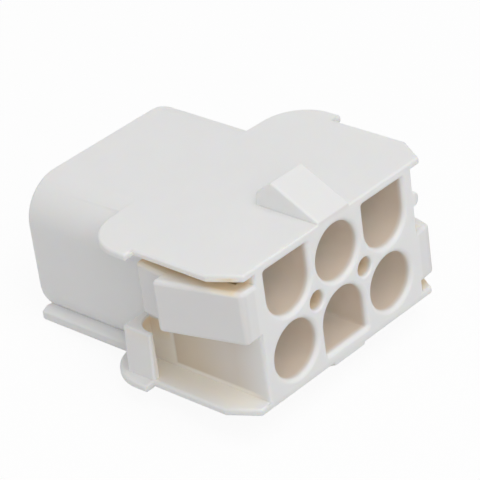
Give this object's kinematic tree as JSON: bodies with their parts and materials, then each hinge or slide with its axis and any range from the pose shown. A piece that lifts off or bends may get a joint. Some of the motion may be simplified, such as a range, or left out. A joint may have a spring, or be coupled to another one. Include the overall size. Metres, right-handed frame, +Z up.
{
  "type": "wire to board connector housing",
  "caption": "Moulded connector housing with round and square-sided sockets, side latches that snap into a panel, stop ears, and ramps that a mating plug locks over.",
  "frame": {"origin": "middle of the mating face", "axes": "+Y from the mating face to the wire side, X along the rows of circuits, +Z up across the two rows"},
  "size_m": [0.0284, 0.0277, 0.0193],
  "materials": {
    "nylon": "natural white polyamide, semi-matt as moulded"
  },
  "bodies": {
    "root": {"housing": "nylon"}
  },
  "joints": []
}
